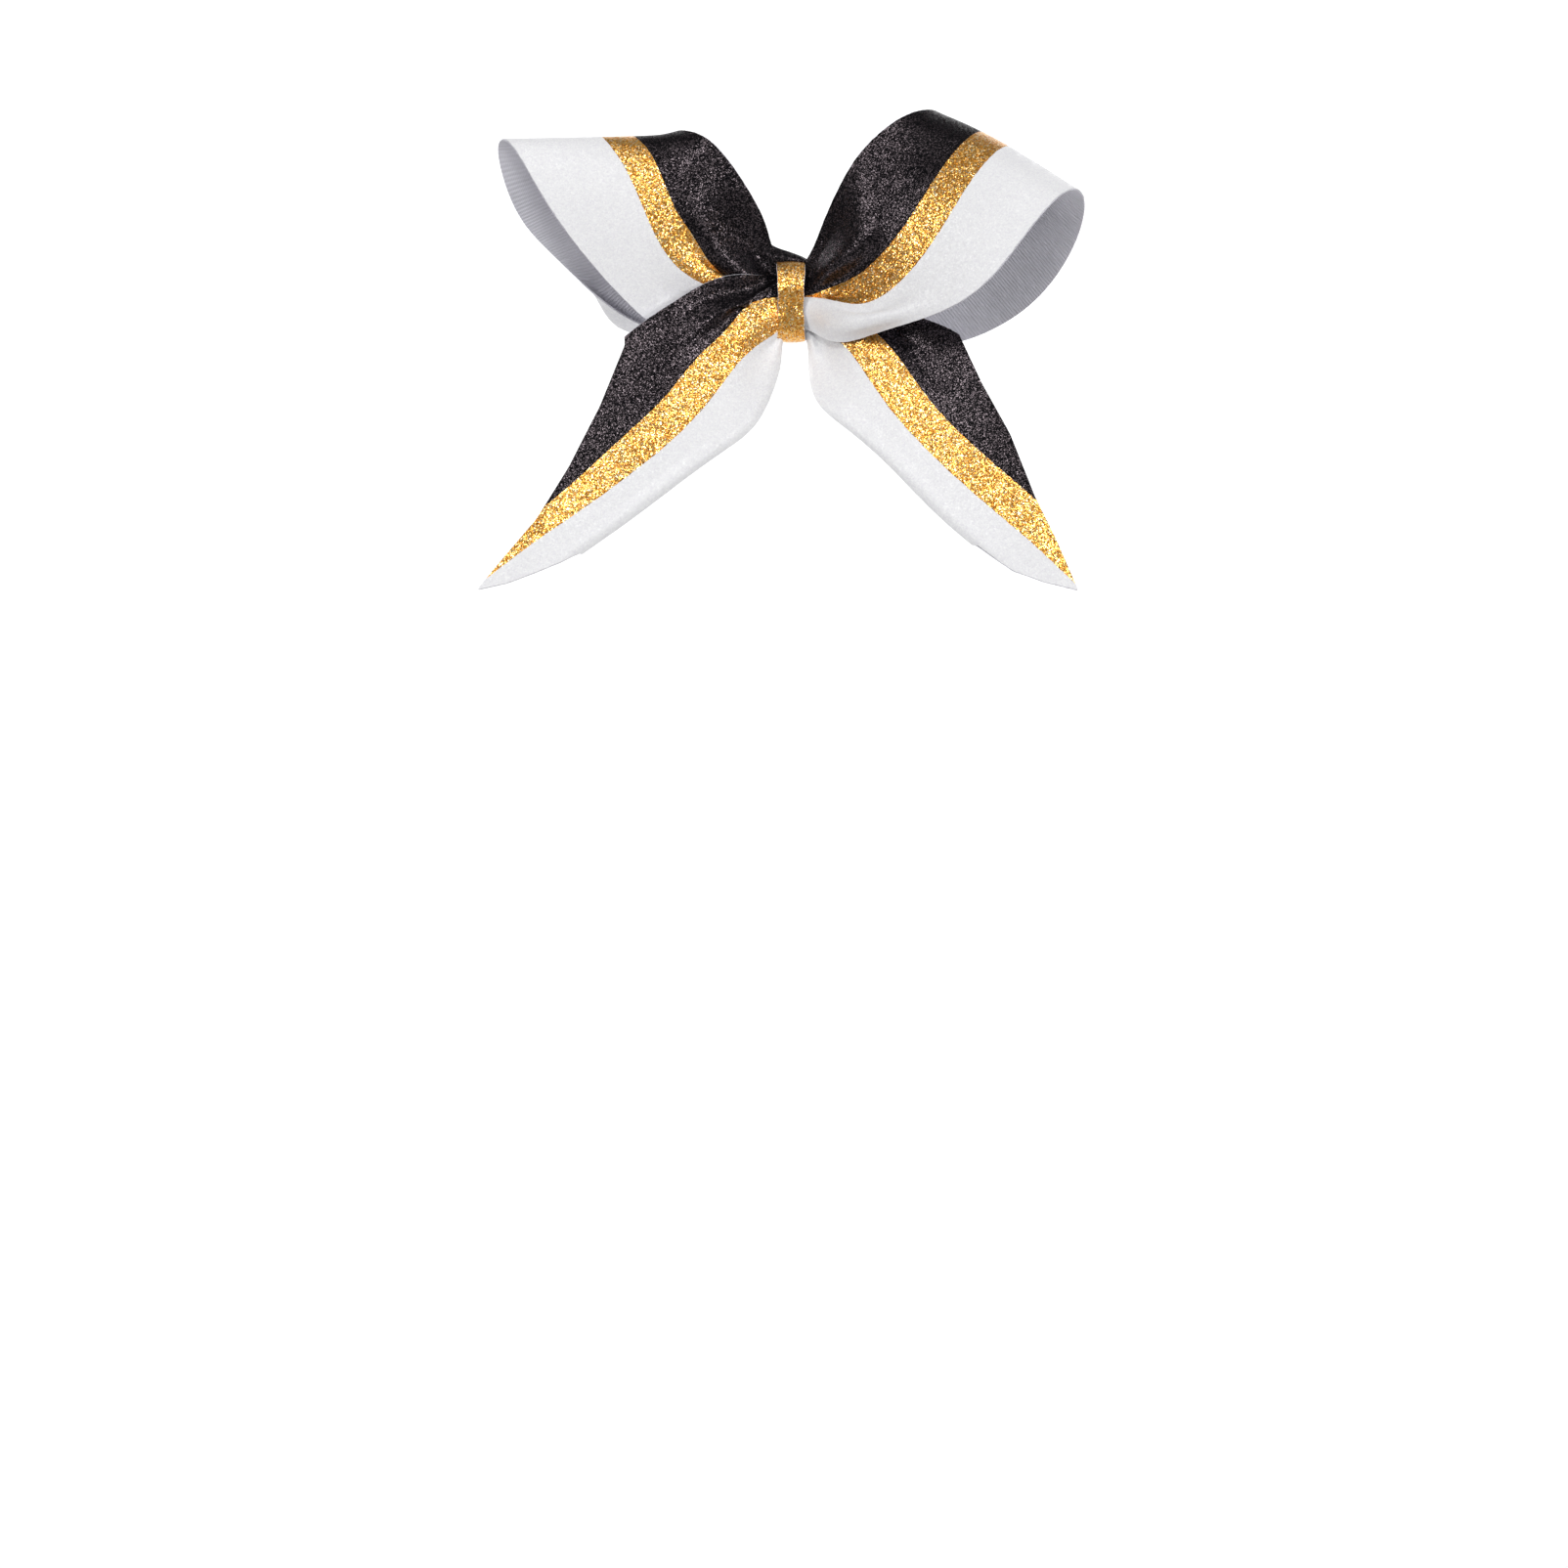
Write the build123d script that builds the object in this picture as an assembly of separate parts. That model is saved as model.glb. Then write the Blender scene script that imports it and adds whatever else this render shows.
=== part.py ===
from build123d import *
from math import radians, tan
import os

# Cheer hair bow on an alligator clip.
# Millimetres. +X runs along the clip, -Y faces outward from the head, +Z is up as worn.
# The origin is the middle of the clip's bite, where the lock of hair is held.

os.makedirs("parts", exist_ok=True)

# ---- Driving dimensions ----
RIBBON_THICK = 0.4          # two-inch grosgrain ribbon, 50.8 mm wide
GLITTER_THICK = 0.25        # glitter film on its outer face
FILM_GAP = 0.06             # between the ribbon and the film
GATHER_THICK = 1.2          # pleated ribbon squeezed at the waist
GATHER_FILM = 0.5           # pleated film squeezed at the waist
BLACK_FILM = (0.02, 0.66)   # where each film starts and ends across the ribbon, counting 0 to 1
GOLD_FILM = (0.67, 0.995)   # from the black edge to the gold and white line and 1 to 2 from
WHITE_FILM = (1.01, 1.98)   # there to the white edge

WRAP_X = (-4.3, 2.9)        # the centre wrap's two edges
WRAP_Z = -0.5               # height of the wrap's middle
WRAP_INNER_HALF_Z = 8.6
WRAP_FRONT_Y = -8.65        # inner face of the wrap, in front of the gathered ribbon
WRAP_CORNER = 2.0           # inside corner radius
WRAP_BASE = 0.5
WRAP_FILM = 0.3
WRAP_FILM_INSET = 0.2       # film's edges inside the wrap's own
THREAD_TURNS = 5
THREAD_PITCH = 1.0
THREAD_WIDTH = 0.5

JAW_HALF_WIDTH = 4.0
JAW_THICK = 0.7
FRONT_JAW_CORNER = 3.0
FRONT_JAW_X = (-22.0, 26.0)
BACK_JAW_CORNER = 2.2
BACK_JAW_X = (-21.2, 26.4)
FRONT_JAW_Y = -0.75         # inner face of the front jaw
BACK_JAW_Y = 3.1            # inner face of the back jaw
PIVOT = (14.0, 1.2)
EAR_RADIUS = 1.6
PIN_RADIUS = 0.75
PIN_CLEARANCE = 0.05
EAR_CLEARANCE = 0.3
PIN_HEAD_RADIUS = 1.25
PIN_HEAD_THICK = 0.5
PIN_HEAD_ROUND = 0.3
TOOTH_HEIGHTS = (-2.4, -0.8, 0.8, 2.4)
LEVER_ANGLE = 26.0
SPRING_WIRE = 0.7
SPRING_RADIUS = 1.35        # middle of the wire
SPRING_FULL_TURNS = 3
SPRING_PITCH = 0.8
SPRING_LEG = 8.0

# ---- Ribbon stations ----
# Each row is one section across the ribbon: its black edge, the line between gold and white,
# and its white edge. Rows run from the waist outward along the ribbon. On the tails the white
# edge is turned under behind, so there the third point is the fold.
FRONT_WAIST = ((0, -6.8, 6.1), (0, -6.8, -2.0), (0, -6.8, -7.2))
MIDDLE_WAIST = ((0, -4.9, 7.2), (0, -4.9, -1.6), (0, -4.9, -8.2))
BACK_WAIST = ((0, -3.6, 6.7), (0, -3.6, -1.6), (0, -3.6, -7.7))

RIGHT_LOOP = (
    FRONT_WAIST,
    ((3.3, -6.9, 6.4), (3.3, -6.9, -1.9), (3.3, -6.9, -7.3)),
    ((8.0, -11.0, 18.5), (11.0, -13.0, -2.0), (11.0, -14.0, -11.2)),
    ((12.0, -15.5, 28.5), (20.0, -20.0, -0.5), (24.0, -24.0, -9.8)),
    ((17.5, -18.5, 38.0), (30.0, -26.5, 6.0), (37.0, -32.0, -5.2)),
    ((25.5, -18.5, 44.8), (38.5, -30.0, 17.5), (49.5, -38.0, 2.5)),
    ((31.5, -14.5, 47.8), (46.0, -30.5, 28.5), (60.0, -39.5, 16.5)),
    ((35.8, -8.0, 48.6), (52.0, -26.5, 36.5), (69.0, -36.0, 26.0)),
    ((37.5, -1.5, 48.0), (55.5, -19.0, 38.0), (73.8, -27.5, 25.0)),
    ((36.0, 2.5, 45.5), (54.5, -11.0, 34.0), (73.0, -17.5, 16.5)),
    ((31.0, 3.0, 39.0), (49.0, -5.5, 24.0), (66.0, -9.5, 4.0)),
    ((24.0, 1.0, 30.5), (38.0, -3.0, 13.0), (54.0, -5.0, -6.0)),
    ((15.0, -2.0, 20.5), (25.0, -2.6, 5.0), (37.0, -3.0, -12.0)),
    ((8.5, -3.1, 12.5), (12.0, -3.2, -0.5), (15.0, -3.3, -11.0)),
    ((3.4, -3.6, 6.9), (3.4, -3.6, -1.6), (3.4, -3.6, -7.9)),
    BACK_WAIST,
)

LEFT_LOOP = (
    MIDDLE_WAIST,
    ((-4.6, -4.9, 7.4), (-4.6, -4.9, -1.4), (-4.6, -4.9, -8.2)),
    ((-9.0, -8.0, 19.0), (-12.5, -8.3, 1.0), (-13.0, -8.0, -11.0)),
    ((-12.2, -12.0, 27.0), (-21.0, -11.5, 3.0), (-24.0, -10.5, -11.5)),
    ((-16.8, -15.0, 35.0), (-29.0, -15.0, 7.0), (-34.0, -13.5, -9.0)),
    ((-21.0, -16.0, 40.0), (-34.5, -18.0, 13.5), (-44.0, -17.5, -3.0)),
    ((-25.0, -14.5, 42.3), (-39.5, -20.0, 22.5), (-54.0, -21.5, 9.0)),
    ((-28.5, -10.0, 43.1), (-44.5, -20.0, 34.0), (-64.0, -24.0, 24.0)),
    ((-30.5, -5.0, 43.2), (-48.0, -17.5, 40.5), (-72.5, -23.0, 38.0)),
    ((-31.0, 0.5, 42.0), (-49.5, -12.5, 41.0), (-75.0, -17.5, 35.0)),
    ((-28.5, 3.0, 38.5), (-47.5, -7.0, 34.5), (-72.0, -11.0, 23.5)),
    ((-23.5, 1.5, 32.0), (-41.0, -3.5, 22.0), (-62.0, -5.5, 9.0)),
    ((-16.0, -1.5, 22.5), (-29.0, -2.8, 10.0), (-44.0, -3.5, -4.5)),
    ((-9.0, -3.0, 13.0), (-14.0, -3.1, 2.0), (-21.0, -3.2, -9.5)),
    ((-4.7, -3.6, 6.9), (-4.7, -3.6, -1.6), (-4.7, -3.6, -7.9)),
    BACK_WAIST,
)

LEFT_TAIL = (
    FRONT_WAIST,
    ((-4.6, -6.9, 6.8), (-4.6, -6.9, -5.2), (-4.9, -6.6, -8.3)),
    ((-11.0, -10.5, 6.5), (-8.4, -10.5, -10.9), (-5.0, -8.5, -14.2)),
    ((-17.5, -13.5, 6.0), (-13.3, -14.0, -15.4), (-4.4, -11.5, -20.5)),
    ((-24.5, -16.5, 2.9), (-17.2, -17.0, -20.5), (-7.0, -15.0, -27.5)),
    ((-30.0, -18.5, -0.8), (-21.5, -19.5, -26.5), (-11.0, -18.0, -34.0)),
    ((-36.5, -20.0, -5.0), (-27.0, -22.0, -32.9), (-18.5, -21.0, -39.5)),
    ((-43.5, -20.5, -10.5), (-34.0, -24.0, -39.5), (-26.0, -23.5, -45.0)),
    ((-52.0, -20.0, -17.5), (-41.8, -25.5, -45.7), (-34.0, -25.5, -51.2)),
    ((-63.0, -19.0, -26.5), (-52.0, -26.5, -53.4), (-44.0, -27.0, -58.8)),
    ((-76.0, -17.0, -35.5), (-64.6, -27.0, -61.9), (-56.5, -28.0, -67.5)),
    ((-93.0, -14.0, -48.5), (-81.5, -26.5, -74.8), (-73.0, -28.0, -80.5)),
)

RIGHT_TAIL = (
    MIDDLE_WAIST,
    ((3.3, -4.9, 7.0), (3.3, -4.9, -2.4), (3.3, -4.9, -8.3)),
    ((11.0, -7.4, 3.0), (8.5, -7.2, -8.0), (4.0, -6.4, -15.0)),
    ((20.5, -11.0, -1.0), (13.8, -11.5, -12.5), (4.2, -9.5, -21.5)),
    ((31.5, -13.5, -4.8), (19.0, -15.5, -20.4), (7.0, -13.5, -28.0)),
    ((41.5, -15.0, -8.5), (25.0, -18.5, -29.2), (14.0, -17.0, -33.5)),
    ((50.0, -17.0, -15.5), (32.0, -21.5, -37.3), (22.5, -20.5, -41.0)),
    ((60.0, -18.0, -25.5), (40.5, -24.0, -45.7), (31.0, -23.5, -50.0)),
    ((69.0, -18.0, -34.5), (49.0, -25.5, -53.3), (39.5, -25.5, -58.5)),
    ((79.5, -17.0, -44.0), (60.0, -26.5, -62.6), (50.5, -27.5, -67.5)),
    ((93.0, -15.0, -56.5), (73.0, -26.5, -75.0), (63.5, -28.0, -80.0)),
)

# ---- Spear-cut ends, as outlines in X and Z that the tails are kept inside ----
LEFT_SPEAR = (
    (30, 30), (-44, 30), (-43, -12.5), (-49.5, -27.5), (-57.5, -43), (-65.8, -56.5), (-81, -74.4),
    (-73.5, -72.8), (-66.5, -70.2), (-60, -67.5), (-55.2, -65), (-53, -65.3), (-46, -84), (30, -84),
)
RIGHT_SPEAR = (
    (-30, 30), (43, 30), (42, -9), (48.3, -21.8), (55.3, -34.5), (61.8, -51), (66.8, -61), (72.6, -74.5),
    (63.5, -72.3), (56.2, -69.7), (50.5, -65.8), (47.2, -63), (42.8, -62.5), (36, -82), (-30, -82),
)
SPEAR_DEPTH = 60.0

# Thickness of the ribbon and of its film at the first stations out from the waist
RIBBON_TAPER = (GATHER_THICK, GATHER_THICK, 0.7, 0.5, RIBBON_THICK)
FILM_TAPER = (GATHER_FILM, GATHER_FILM, 0.35, 0.28, GLITTER_THICK)
SPAN_STEPS = 3


def smooth_rows(stations):
    """Stations filled in along smooth curves through the three edges, SPAN_STEPS to each span."""
    edges = [[Vector(row[k]) for row in stations] for k in range(3)]
    gaps = [(after - before).length for before, after in zip(edges[1], edges[1][1:])]
    last = len(stations) - 1

    def slope(points, i):
        if i in (0, last):
            j = min(i, last - 1)
            return (points[j + 1] - points[j]) / gaps[j]
        into = (points[i] - points[i - 1]) / gaps[i - 1]
        away = (points[i + 1] - points[i]) / gaps[i]
        return (into * gaps[i] + away * gaps[i - 1]) / (gaps[i - 1] + gaps[i])

    def between(points, i, t):
        bend = points[i] * (1 + 2 * t) * (1 - t) ** 2 + points[i + 1] * t * t * (3 - 2 * t)
        pull = slope(points, i) * t * (1 - t) ** 2 - slope(points, i + 1) * t * t * (1 - t)
        return bend + pull * gaps[i]

    rows = []
    for i in range(last):
        for step in range(SPAN_STEPS):
            rows.append([between(points, i, step / SPAN_STEPS) for points in edges])
    rows.append([points[last] for points in edges])
    return rows


def section_normals(rows, outward, back_end):
    """Outward unit normal of each section: square to its width and to the ribbon's run."""
    normals = []
    last = len(rows) - 1
    for i, row in enumerate(rows):
        run = rows[min(i + 1, last)][1] - rows[max(i - 1, 0)][1]
        normals.append(run.cross(row[2] - row[0]).normalized() * outward)
    normals[0] = Vector(0, -1, 0)
    if back_end:
        normals[-1] = Vector(0, 1, 0)
    else:
        # a tail's last section is bent across its width, so its cap is kept flat
        black, middle, white = rows[-1]
        run = (middle - black).cross(white - middle)
        side = run.cross(white - black).normalized()
        normals[-1] = side if side.dot(normals[-2]) > 0 else side * -1
    return normals


def taper(values, index, count, both_ends):
    """Thickness at a section: gathered near the waist, plain elsewhere."""
    place = (min(index, count - 1 - index) if both_ends else index) / SPAN_STEPS
    step = min(int(place), len(values) - 2)
    share = min(place - step, 1.0)
    return values[step] + (values[step + 1] - values[step]) * share


def width_points(row, start, end):
    """Points across one section from start to end, where 0 to 1 is black and gold, 1 to 2 white."""
    black, middle, white = row

    def at(share):
        if share <= 1:
            return black + (middle - black) * share
        return middle + (white - middle) * (share - 1)

    points = [at(start)]
    if start < 1 < end:
        points.append(middle)
    points.append(at(end))
    return points


def layer(stations, outward, start, end, film, both_ends):
    """One layer of a strip, lofted through thin sections: the ribbon, or a film on its outer face."""
    rows = smooth_rows(stations)
    normals = section_normals(rows, outward, both_ends)
    wires = []
    for i, row in enumerate(rows):
        ribbon = taper(RIBBON_TAPER, i, len(rows), both_ends)
        skin = taper(FILM_TAPER, i, len(rows), both_ends)
        low = ribbon / 2 + FILM_GAP if film else -ribbon / 2
        high = low + skin if film else ribbon / 2
        across = width_points(row, start, end)
        outer = [p + normals[i] * high for p in across]
        inner = [p + normals[i] * low for p in reversed(across)]
        wires.append(Wire.make_polygon(outer + inner, close=True))
    return Solid.make_loft(wires)


def spear_block(outline):
    """Prism through which a tail's end is cut."""
    face = Plane.XZ * make_face(Polyline(*outline, close=True))
    return extrude(face, SPEAR_DEPTH, both=True)


def strip(name, stations, outward, spear=None):
    """The grosgrain ribbon of one loop or tail and its three glitter films."""
    loop = spear is None
    parts = {
        "ribbon_" + name: layer(stations, outward, 0, 2, False, loop),
        "black_glitter_" + name: layer(stations, outward, *BLACK_FILM, True, loop),
        "gold_glitter_" + name: layer(stations, outward, *GOLD_FILM, True, loop),
        "white_glitter_" + name: layer(stations, outward, *WHITE_FILM, True, loop),
    }
    if spear:
        block = spear_block(spear)
        parts = {node: solid & block for node, solid in parts.items()}
    return parts


def ring(inner_half_z, front_y, back_y, thick, radius, x_edges):
    """Rounded rectangular band about the waist, between two X positions."""
    middle_y = (front_y + back_y) / 2
    inner_y = back_y - front_y
    plane = Plane.YZ.offset(x_edges[0])
    outline = Pos(middle_y, WRAP_Z) * RectangleRounded(
        inner_y + 2 * thick, 2 * (inner_half_z + thick), radius + thick
    )
    hole = Pos(middle_y, WRAP_Z) * RectangleRounded(inner_y, 2 * inner_half_z, radius)
    return extrude(plane * (outline - hole), x_edges[1] - x_edges[0])


def centre_wrap():
    return ring(WRAP_INNER_HALF_Z, WRAP_FRONT_Y, FRONT_JAW_Y, WRAP_BASE, WRAP_CORNER, WRAP_X)


def centre_wrap_glitter():
    """Gold film on the wrap, open along the back where it is glued inside the clip."""
    lift = WRAP_BASE + FILM_GAP
    band = ring(
        WRAP_INNER_HALF_Z + lift,
        WRAP_FRONT_Y - lift,
        FRONT_JAW_Y + lift,
        WRAP_FILM,
        WRAP_CORNER + WRAP_BASE,
        (WRAP_X[0] + WRAP_FILM_INSET, WRAP_X[1] - WRAP_FILM_INSET),
    )
    open_y = FRONT_JAW_Y - 1.0
    room = 40.0
    return band & Pos(0, open_y - room / 2, 0) * Box(room, room, room)


def cinch_thread():
    """Turns of thread that gather the waist, lying in the wrap in front of the clip."""
    room = 0.03
    back_y = -2.32
    corner = 1.45
    first_x = sum(WRAP_X) / 2 - THREAD_PITCH * (THREAD_TURNS - 1) / 2
    turns = []
    for i in range(THREAD_TURNS):
        x = first_x + i * THREAD_PITCH
        turns.append(
            ring(
                WRAP_INNER_HALF_Z - THREAD_WIDTH - room,
                WRAP_FRONT_Y + THREAD_WIDTH + room,
                back_y,
                THREAD_WIDTH,
                corner,
                (x, x + THREAD_WIDTH),
            )
        )
    return turns


def plate_outline(inner, thick):
    """Closed outline of a bent plate: its inner line and the same line moved out by thick."""
    outer = []
    for i, point in enumerate(inner):
        here = Vector(*point, 0)
        before = Vector(*inner[max(i - 1, 0)], 0)
        after = Vector(*inner[min(i + 1, len(inner) - 1)], 0)
        lead = (here - before).normalized() if i > 0 else (after - here).normalized()
        trail = (after - here).normalized() if i < len(inner) - 1 else lead
        side = Vector(-lead.Y, lead.X, 0) + Vector(-trail.Y, trail.X, 0)
        bisector = side.normalized()
        mitre = thick / bisector.dot(Vector(-lead.Y, lead.X, 0))
        corner = here + bisector * mitre
        outer.append((corner.X, corner.Y))
    return make_face(Polyline(*inner, *reversed(outer), close=True))


def ear(z_edges, root, hole_radius):
    """Rounded ear about the pivot, standing off a plate along the line of points in root."""
    px, py = PIVOT
    profile = make_face(Polyline((px - EAR_RADIUS, py), *root, (px + EAR_RADIUS, py), close=True))
    profile += Pos(px, py) * Circle(EAR_RADIUS)
    profile -= Pos(px, py) * Circle(hole_radius)
    return extrude(Plane.XY.offset(z_edges[0]) * profile, z_edges[1] - z_edges[0])


def clip_front_jaw():
    """Flat plate held in the wrap, with two ears folded back for the pin."""
    length = FRONT_JAW_X[1] - FRONT_JAW_X[0]
    middle = (FRONT_JAW_X[0] + FRONT_JAW_X[1]) / 2
    face = Plane.XZ * (Pos(middle, 0) * RectangleRounded(length, 2 * JAW_HALF_WIDTH, FRONT_JAW_CORNER))
    plate = Pos(0, FRONT_JAW_Y, 0) * extrude(face, JAW_THICK)
    outer = JAW_HALF_WIDTH
    inner = outer - JAW_THICK
    root_y = FRONT_JAW_Y - JAW_THICK / 2
    root = ((PIVOT[0] - EAR_RADIUS, root_y), (PIVOT[0] + EAR_RADIUS, root_y))
    for edges in ((inner, outer), (-outer, -inner)):
        plate += ear(edges, root, PIN_RADIUS)
    return plate


def clip_back_jaw():
    """Prong with a toothed tip and, beyond the pin, the lever that is pressed to open it."""
    slope = tan(radians(LEVER_ANGLE))
    lever_run = FRONT_JAW_X[1] - PIVOT[0]
    line = (
        (-20.7, -0.42),
        (-19.9, 0.9),
        (-12.0, BACK_JAW_Y),
        (PIVOT[0], BACK_JAW_Y),
        (FRONT_JAW_X[1], BACK_JAW_Y + lever_run * slope),
    )
    prong = extrude(plate_outline(line, JAW_THICK), JAW_HALF_WIDTH, both=True)
    length = BACK_JAW_X[1] - BACK_JAW_X[0]
    middle = sum(BACK_JAW_X) / 2
    rounded = RectangleRounded(length, 2 * JAW_HALF_WIDTH, BACK_JAW_CORNER)
    prong &= extrude(Plane.XZ * (Pos(middle, 0) * rounded), 30, both=True)
    notch = make_face(Polyline((-1.0, -0.7), (-1.0, 0.7), (0.55, 0), close=True))
    for z in TOOTH_HEIGHTS:
        cutter = extrude(Plane.YZ.offset(-24) * (Pos(0, z) * notch), 4.6)
        prong -= cutter
    outer = JAW_HALF_WIDTH - JAW_THICK - EAR_CLEARANCE
    inner = outer - JAW_THICK
    root_y = BACK_JAW_Y + JAW_THICK / 2
    root = (
        (PIVOT[0] - EAR_RADIUS, root_y),
        (PIVOT[0], root_y),
        (PIVOT[0] + EAR_RADIUS, root_y + EAR_RADIUS * slope),
    )
    for edges in ((inner, outer), (-outer, -inner)):
        prong += ear(edges, root, PIN_RADIUS + PIN_CLEARANCE)
    return prong


def clip_liner():
    """Strip of grosgrain glued inside the prong, for grip on fine hair."""
    length = 20.0
    width = 2 * JAW_HALF_WIDTH - 1.2
    thick = 0.4
    room = 0.03
    face = Plane.XZ * (Pos(-1.0, 0) * RectangleRounded(length, width, 1.0))
    return Pos(0, BACK_JAW_Y - room, 0) * extrude(face, thick)


def hinge_pin():
    """Rivet through the four ears, with a head at each end."""
    reach = JAW_HALF_WIDTH + 0.03 + PIN_HEAD_THICK / 2
    pin = Cylinder(PIN_RADIUS, 2 * reach)
    for side in (-1, 1):
        head = Pos(0, 0, side * reach) * Cylinder(PIN_HEAD_RADIUS, PIN_HEAD_THICK)
        rims = head.edges().filter_by(GeomType.CIRCLE).sort_by(Axis.Z)
        pin += fillet(rims[-1] if side > 0 else rims[0], PIN_HEAD_ROUND)
    return Pos(PIVOT[0], PIVOT[1], 0) * pin


def torsion_spring():
    """Coil on the pin, with one leg along each plate."""
    turns = SPRING_FULL_TURNS + (180 - LEVER_ANGLE) / 360
    height = turns * SPRING_PITCH
    helix = Helix(SPRING_PITCH, height, SPRING_RADIUS, lefthand=True)
    path = Pos(*PIVOT, -height / 2) * Rot(0, 0, -90) * helix
    start, run_in = path @ 0, path % 0
    end, run_out = path @ 1, path % 1
    wire = SPRING_WIRE / 2
    coil = sweep(Plane(start, z_dir=run_in) * Circle(wire), path, is_frenet=True)
    leg = Pos(0, 0, SPRING_LEG / 2) * Cylinder(wire, SPRING_LEG)
    return coil, Plane(start, z_dir=-run_in) * leg, Plane(end, z_dir=run_out) * leg


def glue_pads():
    """Hot glue between the ribbon's back and the clip, one pad each side of the wrap."""
    thick = 0.4
    pads = []
    for x0, x1 in ((-12.0, -5.2), (3.8, 10.6)):
        face = Plane.XZ * (Pos((x0 + x1) / 2, 0) * RectangleRounded(x1 - x0, 6.4, 1.5))
        pads.append(Pos(0, FRONT_JAW_Y - JAW_THICK, 0) * extrude(face, thick))
    return pads


def save(node, shape):
    solids = shape if isinstance(shape, (list, tuple)) else [shape]
    flat = [s for item in solids for s in item.solids()]
    export_step(flat[0] if len(flat) == 1 else Compound(children=flat), f"parts/{node}.step")


PARTS = {}
PARTS.update(strip("left_tail", LEFT_TAIL, 1, LEFT_SPEAR))
PARTS.update(strip("right_tail", RIGHT_TAIL, -1, RIGHT_SPEAR))
PARTS.update(strip("left_loop", LEFT_LOOP, 1))
PARTS.update(strip("right_loop", RIGHT_LOOP, -1))
PARTS["centre_wrap"] = centre_wrap()
PARTS["centre_wrap_glitter"] = centre_wrap_glitter()
PARTS["cinch_thread"] = cinch_thread()
PARTS["glue_pads"] = glue_pads()
PARTS["clip_front_jaw"] = clip_front_jaw()
PARTS["clip_back_jaw"] = clip_back_jaw()
PARTS["clip_hinge_pin"] = hinge_pin()
PARTS["clip_torsion_spring"] = torsion_spring()
PARTS["clip_liner"] = clip_liner()

for part_name, part_shape in PARTS.items():
    save(part_name, part_shape)
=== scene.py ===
from math import cos, pi, radians, sin

import bpy
import numpy as np
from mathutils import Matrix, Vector


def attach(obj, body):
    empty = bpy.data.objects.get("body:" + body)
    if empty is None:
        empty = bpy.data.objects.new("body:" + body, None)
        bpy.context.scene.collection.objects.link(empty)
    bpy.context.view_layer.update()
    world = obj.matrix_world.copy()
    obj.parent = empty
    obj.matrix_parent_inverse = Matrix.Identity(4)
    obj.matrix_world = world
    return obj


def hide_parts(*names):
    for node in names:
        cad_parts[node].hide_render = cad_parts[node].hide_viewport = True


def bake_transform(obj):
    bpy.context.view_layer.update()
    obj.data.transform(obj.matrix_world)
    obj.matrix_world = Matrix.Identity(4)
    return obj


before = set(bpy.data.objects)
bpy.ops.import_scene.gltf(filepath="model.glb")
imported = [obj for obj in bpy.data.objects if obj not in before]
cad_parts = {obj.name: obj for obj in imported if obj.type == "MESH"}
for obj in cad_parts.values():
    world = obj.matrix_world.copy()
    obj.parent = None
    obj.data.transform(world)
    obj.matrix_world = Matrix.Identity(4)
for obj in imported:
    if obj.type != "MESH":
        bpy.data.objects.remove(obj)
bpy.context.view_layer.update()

MM = 0.001
RNG = np.random.default_rng(7)

# ---- The ribbon ----
# Two-inch grosgrain with three glitter films side by side, in millimetres. Shares are of its width,
# from the black edge (0) to the white edge (1).
RIBBON_WIDTH = 50.8
RIBBON_THICK = 0.28
FILM_THICK = 0.2
FILM_GAP = 0.015        # glue line between the ribbon and a film
GATHERED_RIBBON = 0.3   # thicknesses where the waist gathers the ribbon
GATHERED_FILM = 0.45
EDGE_GRAIN = 0.0011     # how far a film's edge wanders, as a share of the width
GOLD_START = 0.376
GOLD_END = 0.57
SELVAGE = 0.003
FILMS = (               # name, first and last share, columns of mesh
    ("black_glitter", SELVAGE, GOLD_START, 38),
    ("gold_glitter", GOLD_START, GOLD_END, 21),
    ("white_glitter", GOLD_END, 1 - SELVAGE, 56),
)
RUN_STEPS = 14          # rows of mesh to each span between stations
RIBBON_COLUMNS = 121
WAIST_REACH = 4.0       # the wrap holds the ribbon gathered, without pleats, this far from the middle
BACK_PLEATS = 0.25      # height of the pleats on the back of a loop, against those in front

# ---- Ribbon stations, millimetres ----
# They follow the CAD strips, but the left tail starts 1 to 2 mm beside its strip. Each row crosses
# the ribbon: black edge, line between gold and white, white edge.
FRONT_WAIST = ((0, -6.8, 6.1), (0, -6.8, -2.0), (0, -6.8, -7.2))
MIDDLE_WAIST = ((0, -4.9, 7.2), (0, -4.9, -1.6), (0, -4.9, -8.2))
BACK_WAIST = ((0, -3.6, 6.7), (0, -3.6, -1.6), (0, -3.6, -7.7))

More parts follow.
